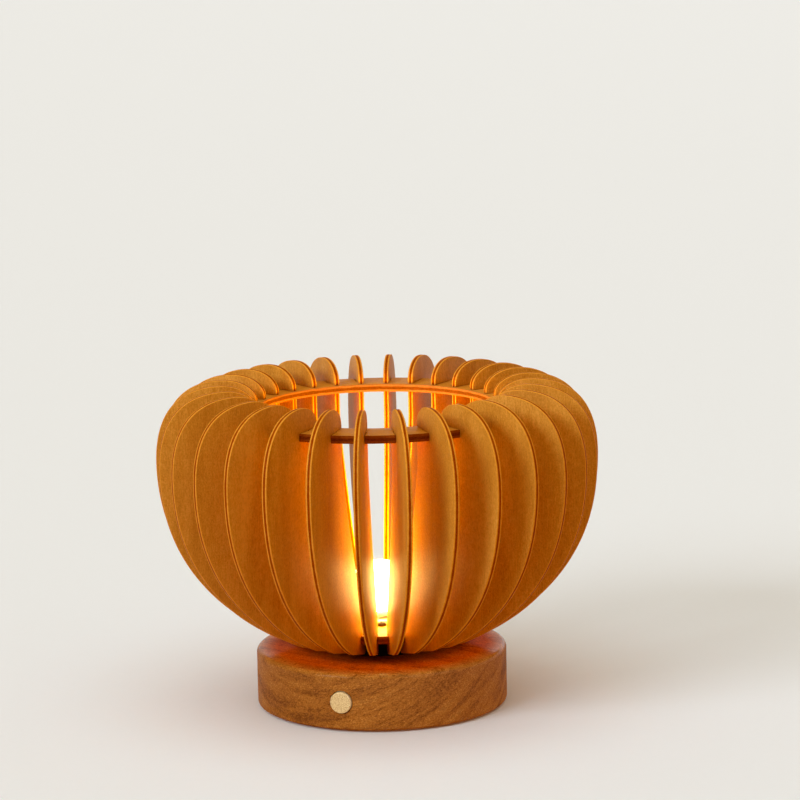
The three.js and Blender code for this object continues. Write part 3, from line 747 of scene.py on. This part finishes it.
# Painted shade: the outer rims of the ring and the plate are the same laser-cut ply edge, scorched
# core included, as the holes' rims, but painted darker all over for the shade on them.
PAINTED_SHADE_EDGE = ply_edge(
    "scorched_edge", outer=((0.34, 0.09, 0.014), (0.22, 0.045, 0.006)),
    core=((0.24, 0.05, 0.007), (0.15, 0.024, 0.002)), core_share=0.36)
BASE_WOOD = turned_wood("base_wood", top=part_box("base_body")[1].z)
BUTTON = button_finish("button_cream")
BLACK_PLASTIC = moulded("black_plastic", srgb(30, 25, 21), srgb(20, 17, 15), roughness=0.55)
WHITE_PLASTIC = moulded("white_plastic", srgb(236, 230, 218), srgb(226, 218, 202), roughness=0.45)
RUBBER = moulded(
    "pad_rubber", srgb(38, 35, 32), srgb(28, 26, 24), roughness=0.85, grain_scale=1500, relief=0.00012)
RED_SLEEVE = moulded("red_sleeve", srgb(168, 38, 28), srgb(150, 30, 24), roughness=0.45)
BLACK_SLEEVE = moulded("black_sleeve", srgb(30, 30, 30), srgb(22, 22, 22), roughness=0.45)
DARK_STEEL = metal("dark_steel", srgb(92, 74, 52), srgb(58, 42, 28), roughness=0.4)
BRIGHT_STEEL = metal("bright_steel", srgb(196, 196, 192), srgb(150, 146, 138), roughness=0.3)
CELL_FOIL = metal("cell_foil", srgb(180, 182, 188), srgb(150, 152, 158), roughness=0.4)
GREEN_BOARD = board_finish("green_board")
SPACER_BLACK = moulded(
    "spacer_black", srgb(20, 11, 6), srgb(14, 8, 5), roughness=0.75, shine=0.1)
FROSTED_GLASS = lit_glass("frosted_glass", glow=(1.0, 0.8, 0.27), strength=16.0)


# Shade


def direction_of(node):
    """The direction in which a node lies from the lamp's axis."""
    low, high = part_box(node)
    return atan2(low.y + high.y, low.x + high.x)


def foot_level():
    """The level of the outer end of a fin's foot."""
    return levels(FINS[0])[0] + FOOT_FALL


def notch(edge, floor, low, high):
    """Corners of a notch in a fin's inner edge, from its upper lip to its lower one."""
    roof = high + LAP_GAP
    sill = low - LAP_GAP
    return [(edge, roof), (floor, roof), (floor, sill), (edge, sill)]


def fin_outline():
    """Outline of a fin as (radius, height above its foot's outer end), counter-clockwise."""
    foot = foot_level()
    top = levels(FINS[0])[1] - foot
    ring = [level - foot for level in levels("upper_ring")]
    plate = [level - foot for level in levels("lower_plate")]
    belly = (BELLY_RADIUS, BELLY_HEIGHT)
    lower = [(BELLY_RADIUS * r, BELLY_HEIGHT * z) for r, z in LOWER_HANDLE_SHARES]
    upper = [(BELLY_RADIUS * r, top * z) for r, z in UPPER_HANDLE_SHARES]
    inner = [(NECK_RADIUS * r, NECK_HEIGHT * z) for r, z in INNER_HANDLE_SHARES]
    lobe_axes = (LOBE_RADIUS - NECK_RADIUS, LOBE_DEPTH)
    corner = (FOOT_INNER_RADIUS + FOOT_CORNER, FOOT_CORNER - FOOT_FALL)
    return (
        bezier((FOOT_OUTER_RADIUS, 0), *lower, belly, steps=48)
        + bezier(belly, *upper, (LOBE_RADIUS, top), steps=30)[1:]
        + arc((LOBE_RADIUS, top - LOBE_DEPTH), lobe_axes, pi / 2, pi, steps=16)[1:]
        + notch(NECK_RADIUS, RING_LAP_RADIUS, *ring)
        + bezier((NECK_RADIUS, NECK_HEIGHT), *inner, (FOOT_INNER_RADIUS, WAIST_HEIGHT), steps=30)
        + notch(FOOT_INNER_RADIUS, PLATE_LAP_RADIUS, *plate)
        + arc(corner, (FOOT_CORNER, FOOT_CORNER), pi, 3 * pi / 2, steps=5)
    )


def make_fins():
    outline = fin_outline()
    half = FIN_THICKNESS / 2
    upright = Matrix.Rotation(pi / 2, 4, "X")
    raised = Matrix.Translation((0, 0, foot_level()))
    shifts = np.random.default_rng(GRAIN_SEED).uniform(0, GRAIN_SPREAD, (len(FINS), 3))
    for name, shift in zip(FINS, shifts):
        mesh = rounded_slab("wood_" + name, [outline], -half, half, FIN_ROUNDING)
        mesh.transform(raised @ upright)
        set_grain(mesh, across=(1, 0, 0), through=(0, 1, 0), fibre=(0, 0, 1), shift=shift)
        set_layer(mesh, direction=(0, 1, 0), middle=0, half=half)
        mesh.transform(Matrix.Rotation(direction_of(name), 4, "Z"))
        piece_from(mesh, [FIN_FACE, FIN_EDGE], "lamp", [name])


def slotted_disc(radius, lap_radius):
    """Outline of a disc whose edge has one slot, open outwards, for each fin."""
    half = FIN_THICKNESS / 2 + LAP_GAP
    floor = lap_radius - LAP_GAP
    mouth = sqrt(radius**2 - half**2)
    opening = asin(half / radius)
    turns = sorted(direction_of(name) % (2 * pi) for name in FINS)
    outline = []
    for turn, following in zip(turns, turns[1:] + [turns[0] + 2 * pi]):
        slot = [(mouth, -half), (floor, -half), (floor, half)]
        outline += [turned_point(turn, point) for point in slot]
        outline += arc((0, 0), (radius, radius), turn + opening, following - opening, steps=8)[:-1]
    return outline


def make_plates():
    ring_mouth = circle((0, 0), RING_INNER_RADIUS, sides=160)[::-1]
    ring = slotted_disc(RING_OUTER_RADIUS, RING_LAP_RADIUS)
    make_plate("wood_ring", "upper_ring", [ring, ring_mouth], RING_GRAIN_PLACE)
    holes = [circle((0, 0), SOCKET_HOLE_RADIUS, sides=48)[::-1]]
    for screw in SHADE_SCREWS:
        holes.append(circle(middle_of(screw), SCREW_HOLE_RADIUS, sides=24)[::-1])
    plate = slotted_disc(PLATE_RADIUS, PLATE_LAP_RADIUS)
    make_plate("wood_plate", "lower_plate", [plate, *holes], PLATE_GRAIN_PLACE)


def make_plate(name, node, loops, shift):
    low, high = levels(node)
    mesh = rounded_slab(name, loops, low, high, PLATE_ROUNDING)
    set_grain(mesh, across=(0, 1, 0), through=(0, 0, 1), fibre=(1, 0, 0), shift=shift)
    set_layer(mesh, direction=(0, 0, 1), middle=(low + high) / 2, half=(high - low) / 2)
    # The outer rims take the painted-shade edge, and the holes' rims the plain ring edge.
    piece_from(mesh, [RING_FACE, PAINTED_SHADE_EDGE, RING_EDGE], "lamp", [node])


# Base


def base_profile():
    foot, top = levels("base_body")
    rebate_top = levels("base_cover")[0] + COVER_THICKNESS + SEAT_GAP
    shoulder = (BASE_RADIUS - BASE_TOP_ROUNDING, top - BASE_TOP_ROUNDING)
    heel = (BASE_RADIUS - BASE_FOOT_ROUNDING, foot + BASE_FOOT_ROUNDING)
    return (
        [(LEAD_HOLE_RADIUS, HOLLOW_TOP), (HOLLOW_RADIUS, HOLLOW_TOP), (HOLLOW_RADIUS, rebate_top)]
        + [(REBATE_RADIUS, rebate_top), (REBATE_RADIUS, foot)]
        + arc(heel, (BASE_FOOT_ROUNDING,) * 2, -pi / 2, 0, steps=8)
        + arc(shoulder, (BASE_TOP_ROUNDING,) * 2, 0, pi / 2, steps=16)
        + [(LEAD_HOLE_RADIUS, top), (LEAD_HOLE_RADIUS, HOLLOW_TOP)]
    )


def middle_level(node):
    return sum(levels(node)) / 2


def button_way():
    """The cutter for the button's stepped hole, with an eased rim."""
    seat = BASE_RADIUS - BUTTON_WALL
    flare = BUTTON_HOLE_RADIUS + CUTTER_OVERRUN + RIM_EASING
    way = lathe("way", [
        (0, WAY_INSIDE), (BUTTON_RECESS_RADIUS, WAY_INSIDE), (BUTTON_RECESS_RADIUS, seat),
        (BUTTON_HOLE_RADIUS, seat), (BUTTON_HOLE_RADIUS, BASE_RADIUS - RIM_EASING),
        (flare, WAY_OUTSIDE), (0, WAY_OUTSIDE),
    ], sides=64)
    way.transform(Matrix.Translation((0, 0, middle_level("push_button"))) @ FORWARD)
    return way


def plug_way():
    """The cutter for the hole through which a plug reaches the charge socket."""
    way = rounded_slab("plug", [stadium(*PLUG_WAY)], WAY_INSIDE, WAY_OUTSIDE, CUTTER_ROUNDING, steps=1)
    way.transform(Matrix.Translation((0, 0, middle_level("charge_socket"))) @ BACKWARD)
    return way


def make_base():
    mesh = carve(lathe("puck", base_profile(), sides=192), [button_way(), plug_way()])
    fibre = (HEADING @ BASE_FIBRE).normalized()
    through = (HEADING @ BASE_THROUGH).normalized()
    set_grain(mesh, fibre.cross(through), through, fibre, BASE_GRAIN_PLACE)
    piece_from(mesh, [BASE_WOOD], "lamp", ["base_body"], name="wood_base")


def make_button():
    low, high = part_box("push_button")
    face, back = -low.y, -high.y
    flange_front = face - BUTTON_FLANGE_SETBACK
    flange_back = flange_front - BUTTON_FLANGE_THICKNESS
    edge = (BUTTON_RADIUS - BUTTON_ROUNDING, face - BUTTON_ROUNDING)
    mesh = lathe("cap_button", [
        (0, back), (BUTTON_STEM_RADIUS, back), (BUTTON_STEM_RADIUS, flange_back),
        (BUTTON_FLANGE_RADIUS, flange_back), (BUTTON_FLANGE_RADIUS, flange_front),
        (BUTTON_RADIUS, flange_front), *arc(edge, (BUTTON_ROUNDING,) * 2, 0, pi / 2, steps=8),
        (0, face),
    ])
    mesh.transform(Matrix.Translation((0, 0, middle_level("push_button"))) @ FORWARD)
    piece_from(mesh, [BUTTON], "button", ["push_button"])


def make_cover():
    low, post_top = levels("base_cover")
    top = low + COVER_THICKNESS
    disc = lathe("disc", disc_profile(COVER_RADIUS, low, top, COVER_ROUNDING), sides=192)
    head_radius = COVER_HEAD_RADIUS + COVER_SINK_GAP
    bore_radius = COVER_SCREW_RADIUS + COVER_SINK_GAP
    sink = [
        (0, low - CUTTER_OVERRUN), (head_radius, low - CUTTER_OVERRUN), (head_radius, low),
        (bore_radius, low + COVER_HEAD_DEPTH), (bore_radius, top + CUTTER_OVERRUN),
        (0, top + CUTTER_OVERRUN),
    ]
    sinks = [lathe("sink", sink, sides=48) for screw in COVER_SCREWS]
    for mesh, screw in zip(sinks, COVER_SCREWS):
        mesh.transform(Matrix.Translation((*middle_of(screw), 0)))
    posts = [rod(place, POST_RADIUS, top - COVER_ROUNDING, post_top) for place in POST_PLACES]
    mesh = merged("cover_disc", [carve(disc, sinks), *posts])
    piece_from(smoothed(mesh), [BLACK_PLASTIC], "lamp", ["base_cover"])


def make_pad():
    low, high = levels("anti_slip_pad")
    pad = lathe("pad_disc", disc_profile(PAD_RADIUS, low, high, (high - low) / 3), sides=192)
    piece_from(pad, [RUBBER], "lamp", ["anti_slip_pad"])


def crossed_recess(reach, head):
    """The cutter for a screw's cross recess, through the level of its head's face."""
    return rounded_slab("recess", [cross(reach, RECESS_WIDTH)], head - RECESS_DEPTH,
                        head + RECESS_DEPTH, CUTTER_ROUNDING, steps=1)


def make_screws(nodes, profile, recess, material):
    """One turned screw with a crossed recess, set at the place of each of its nodes."""
    screw = carve(lathe("screw", profile, sides=48), [recess])
    for node in nodes:
        copy = screw.copy()
        copy.transform(Matrix.Translation((*middle_of(node), 0)))
        piece_from(copy, [material], "lamp", [node], name="turned_" + node)


def make_shade_screws():
    low, high = levels(SHADE_SCREWS[0])
    seat = high - SHADE_HEAD_HEIGHT
    dome = arc((0, seat), (SHADE_HEAD_RADIUS, SHADE_HEAD_HEIGHT), 0, pi / 2, steps=12)
    profile = [
        (0, low), (SHADE_SCREW_RADIUS, low + SHADE_SCREW_RADIUS), (SHADE_SCREW_RADIUS, seat),
        *dome[:-1], (0, high),
    ]
    recess = crossed_recess(SHADE_RECESS_REACH, high)
    make_screws(SHADE_SCREWS, profile, recess, DARK_STEEL)


def make_cover_screws():
    low, high = levels(COVER_SCREWS[0])
    profile = [
        (0, low), (COVER_HEAD_RADIUS, low), (COVER_SCREW_RADIUS, low + COVER_HEAD_DEPTH),
        (COVER_SCREW_RADIUS, high - COVER_SCREW_RADIUS), (0, high),
    ]
    recess = crossed_recess(COVER_RECESS_REACH, low)
    make_screws(COVER_SCREWS, profile, recess, BRIGHT_STEEL)


def make_charge_socket():
    low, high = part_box("charge_socket")
    width, height = SHELL_SIZE
    outside = stadium(width, height)
    inside = stadium(width - 2 * SHELL_WALL, height - 2 * SHELL_WALL)[::-1]
    within = stadium(width - SHELL_WALL, height - SHELL_WALL)
    easing = SHELL_WALL / 5
    floor = low.y + SHELL_WALL
    shell = rounded_slab("shell", [outside, inside], low.y, high.y, easing)
    back = rounded_slab("back", [within], floor, low.y + SHELL_BACK, easing)
    tongue = rounded_slab("tongue", [rectangle(*TONGUE_SIZE)], floor, high.y - TONGUE_SETBACK,
                          TONGUE_SIZE[1] / 6)
    for mesh, material in ((shell, 0), (back, 0), (tongue, 1)):
        mesh.polygons.foreach_set("material_index", [material] * len(mesh.polygons))
    mesh = smoothed(merged("charge_shell", [shell, back, tongue]))
    mesh.transform(Matrix.Translation((0, 0, middle_level("charge_socket"))) @ BACKWARD)
    finishes = [BRIGHT_STEEL, BLACK_PLASTIC]
    piece_from(mesh, finishes, "lamp", ["charge_socket"])


# Spacer, lamp socket and bulb


def make_spacer():
    low, high = levels("shade_spacer")
    recess = SOCKET_FLANGE_RADIUS + SOCKET_HOLE_RADIUS - SOCKET_RADIUS
    recess_top = low + SOCKET_FLANGE_HEIGHT + SEAT_GAP
    profile = [
        (recess, low), *disc_profile(SPACER_RADIUS, low, high, SPACER_ROUNDING)[1:-1],
        (SOCKET_HOLE_RADIUS, high), (SOCKET_HOLE_RADIUS, recess_top), (recess, recess_top),
        (recess, low),
    ]
    ways = [rod(middle_of(screw), SCREW_HOLE_RADIUS, low - CUTTER_OVERRUN, high + CUTTER_OVERRUN)
            for screw in SHADE_SCREWS]
    mesh = carve(lathe("ring", profile, sides=144), ways)
    piece_from(mesh, [SPACER_BLACK], "lamp", ["shade_spacer"], name="spacer_ring")


def pin_places():
    return [(0, PIN_SPACING / 2), (0, -PIN_SPACING / 2)]


def make_lamp_socket():
    low, high = levels("lamp_socket")
    flange_top = low + SOCKET_FLANGE_HEIGHT
    body = lathe("body", [
        (0, low), (SOCKET_FLANGE_RADIUS, low), (SOCKET_FLANGE_RADIUS, flange_top),
        (SOCKET_RADIUS, flange_top), (SOCKET_RADIUS, high - SOCKET_CHAMFER),
        (SOCKET_RADIUS - SOCKET_CHAMFER, high), (0, high),
    ], sides=96)
    bottom = levels("bulb_base")[0] - SEAT_GAP
    ways = [rod(place, PIN_HOLE_RADIUS, bottom, high + CUTTER_OVERRUN) for place in pin_places()]
    mesh = carve(body, ways)
    piece_from(mesh, [WHITE_PLASTIC], "lamp", ["lamp_socket"], name="socket_body")


def make_bulb_base():
    low, high = levels("bulb_base")
    shoulder = high - BULB_NECK_HEIGHT
    bottom = shoulder - BULB_BASE_HEIGHT
    body = lathe("body", [
        (0, bottom), (BULB_BASE_RADIUS - BULB_BASE_CHAMFER, bottom),
        (BULB_BASE_RADIUS, bottom + BULB_BASE_CHAMFER), (BULB_BASE_RADIUS, shoulder),
        (BULB_NECK_RADIUS, shoulder), (BULB_NECK_RADIUS, high), (0, high),
    ], sides=96)
    pins = [rod(place, PIN_RADIUS, low, low + PIN_LENGTH) for place in pin_places()]
    for pin in pins:
        pin.polygons.foreach_set("material_index", [1] * len(pin.polygons))
    mesh = smoothed(merged("bulb_foot", [body, *pins]))
    piece_from(mesh, [WHITE_PLASTIC, BRIGHT_STEEL], "lamp", ["bulb_base"])


def globe_wall(mouth, swell, low, top, steps):
    """One wall of the globe, from its mouth to its top."""
    handle = low + BULB_LOWER_SHARE * (top - low)
    return bezier((mouth, low), (swell, handle), (swell, top), (0, top), steps)


def make_globe():
    low, top = levels("bulb_globe")
    outside = globe_wall(BULB_MOUTH_RADIUS, BULB_SWELL, low, top, steps=48)
    # The middle of such a curve moves by three quarters of what its handles move
    inner_swell = BULB_SWELL - 4 * BULB_WALL / 3
    inner_mouth = BULB_MOUTH_RADIUS - BULB_WALL
    inside = globe_wall(inner_mouth, inner_swell, low, top - BULB_WALL, steps=32)
    mesh = lathe("glass_globe", outside + inside[::-1] + outside[:1], sides=96)
    piece_from(mesh, [FROSTED_GLASS], "lamp", ["bulb_globe"])


# Stage, lights and camera


def make_floor():
    """A pale round floor that curves up far away, so that it has no edge in any view."""
    flat = [(radius, 0) for radius in np.linspace(FLOOR_MIDDLE_RADIUS, FLOOR_FLAT_RADIUS, 20)]
    middle = (FLOOR_FLAT_RADIUS, FLOOR_CURVE_RADIUS)
    curve = arc(middle, (FLOOR_CURVE_RADIUS,) * 2, -pi / 2, 0, steps=16)
    mesh = lathe("floor", [(0, 0), *flat, *curve[1:]], sides=96)
    floor = bpy.data.objects.new("floor", mesh)
    bpy.context.scene.collection.objects.link(floor)
    finish = Finish("floor", Roughness=0.9, Specular_IOR_Level=0.1)
    paper = finish.noise(finish.position(), (300,) * 3)
    finish.set("Base Color", finish.mix(paper, (0.818, 0.887, 0.955), (0.832, 0.901, 0.97)))
    mesh.materials.append(finish.material)
    floor.visible_diffuse = False


def light_group(name, pieces, state="INCLUDE"):
    """A collection that tells a light which pieces it reaches, or with EXCLUDE which it doesn't."""
    group = bpy.data.collections.new(name)
    for piece in pieces:
        group.objects.link(bpy.data.objects[piece])
    for member in group.collection_objects:
        member.light_linking.link_state = state
    return group


def add_light(light, group):
    """Sets a light up in the scene, for the pieces of one group alone."""
    holder = bpy.data.objects.new(light.name, light)
    holder.light_linking.receiver_collection = group
    bpy.context.scene.collection.objects.link(holder)
    return holder


def add_sun(groups, name, lit, toward, strength, spread, colour):
    """A broad light so far away that it falls evenly on everything in its group."""
    light = bpy.data.lights.new(name, "SUN")
    light.energy = strength
    light.angle = radians(spread)
    light.color = colour
    holder = add_light(light, groups[lit])
    holder.rotation_mode = "QUATERNION"
    holder.rotation_quaternion = (HEADING @ toward).to_track_quat("Z", "Y")


def add_inner_glow(group):
    """The warm light that fills the shade, wider than the bulb's own glass throws it."""
    light = bpy.data.lights.new("inner_glow", "POINT")
    light.color = GLOW_COLOUR
    light.energy = GLOW_POWER
    light.shadow_soft_size = GLOW_RADIUS
    holder = add_light(light, group)
    holder.location = HEADING @ GLOW_PLACE
    holder.visible_camera = False
    holder.visible_glossy = False


def make_world():
    world = bpy.data.worlds.new("studio")
    world.use_nodes = True
    background = world.node_tree.nodes["Background"]
    background.inputs["Color"].default_value = (*WORLD_COLOUR, 1)
    background.inputs["Strength"].default_value = WORLD_STRENGTH
    bpy.context.scene.world = world


def make_lights():
    groups = {
        "lamp": light_group("lamp_only", ["floor"], "EXCLUDE"),
        "base": light_group("base_only", ["wood_base", "cap_button"]),
        "floor": light_group("floor_only", ["floor"]),
    }
    for sun in SUNS:
        add_sun(groups, **sun)
    add_inner_glow(groups["lamp"])


def make_camera():
    back = HEADING @ Vector((0, -cos(CAMERA_ELEVATION), sin(CAMERA_ELEVATION)))
    right = HEADING @ Vector((1, 0, 0))
    up = back.cross(right)
    rolled_right = cos(CAMERA_ROLL) * right + sin(CAMERA_ROLL) * up
    rolled_up = cos(CAMERA_ROLL) * up - sin(CAMERA_ROLL) * right
    lens = bpy.data.cameras.new("camera")
    lens.sensor_width = SENSOR_WIDTH
    lens.lens = FOCAL_PIXELS * SENSOR_WIDTH / PHOTO_WIDTH
    lens.clip_start = CAMERA_NEAR
    lens.clip_end = CAMERA_FAR
    camera = bpy.data.objects.new("camera", lens)
    turn = Matrix((rolled_right, rolled_up, back)).transposed().to_4x4()
    place = HEADING @ CAMERA_AIM + CAMERA_DISTANCE * back
    camera.matrix_world = Matrix.Translation(place) @ turn
    bpy.context.scene.collection.objects.link(camera)
    bpy.context.scene.camera = camera


def make_picture():
    """Plain colours with a soft bloom round the bulb and a little more depth of colour."""
    scene = bpy.context.scene
    scene.view_settings.view_transform = "Standard"
    scene.use_nodes = True
    tree = scene.node_tree
    tree.nodes.clear()
    render = tree.nodes.new("CompositorNodeRLayers")
    bloom = tree.nodes.new("CompositorNodeGlare")
    bloom.glare_type = "FOG_GLOW"
    bloom.quality = "HIGH"
    bloom.threshold = BLOOM_THRESHOLD
    bloom.size = BLOOM_SIZE
    bloom.mix = BLOOM_MIX
    depth = tree.nodes.new("CompositorNodeHueSat")
    depth.inputs["Saturation"].default_value = SATURATION
    picture = tree.nodes.new("CompositorNodeComposite")
    tree.links.new(render.outputs["Image"], bloom.inputs["Image"])
    tree.links.new(bloom.outputs["Image"], depth.inputs["Image"])
    tree.links.new(depth.outputs["Image"], picture.inputs["Image"])


FRAME_FINISHES = {
    "black_plastic": BLACK_PLASTIC,
    "led_board": WHITE_PLASTIC,
    "bright_steel": BRIGHT_STEEL,
    "green_board": GREEN_BOARD,
    "cell_foil": CELL_FOIL,
    "red_sleeve": RED_SLEEVE,
    "black_sleeve": BLACK_SLEEVE,
}


def finish_frame_nodes():
    """Gives every node that stays in view its procedural finish."""
    for part in frame["record"]["subparts"]:
        if part["material_slot"] in FRAME_FINISHES:
            materials = frame["nodes"][part["node"]].data.materials
            materials.clear()
            materials.append(FRAME_FINISHES[part["material_slot"]])


def soften_frame_nodes():
    """Takes the sharpness off the edges of the pieces inside the base."""
    inner_pieces = ("circuit_board", "battery_cell", "switch_housing", "switch_plunger", "bulb_stem")
    for node in (*BOARD_SCREWS, *inner_pieces):
        modifier = frame["nodes"][node].modifiers.new("soft_edges", "BEVEL")
        modifier.width = SOFT_EDGE
        modifier.segments = 2
        modifier.limit_method = "ANGLE"
        modifier.angle_limit = SOFTEN_ABOVE


make_camera()
make_floor()
make_fins()
make_plates()
make_base()
make_button()
make_cover()
make_pad()
make_shade_screws()
make_cover_screws()
make_charge_socket()
make_spacer()
make_lamp_socket()
make_bulb_base()
make_globe()
finish_frame_nodes()
soften_frame_nodes()
make_world()
make_lights()
make_picture()
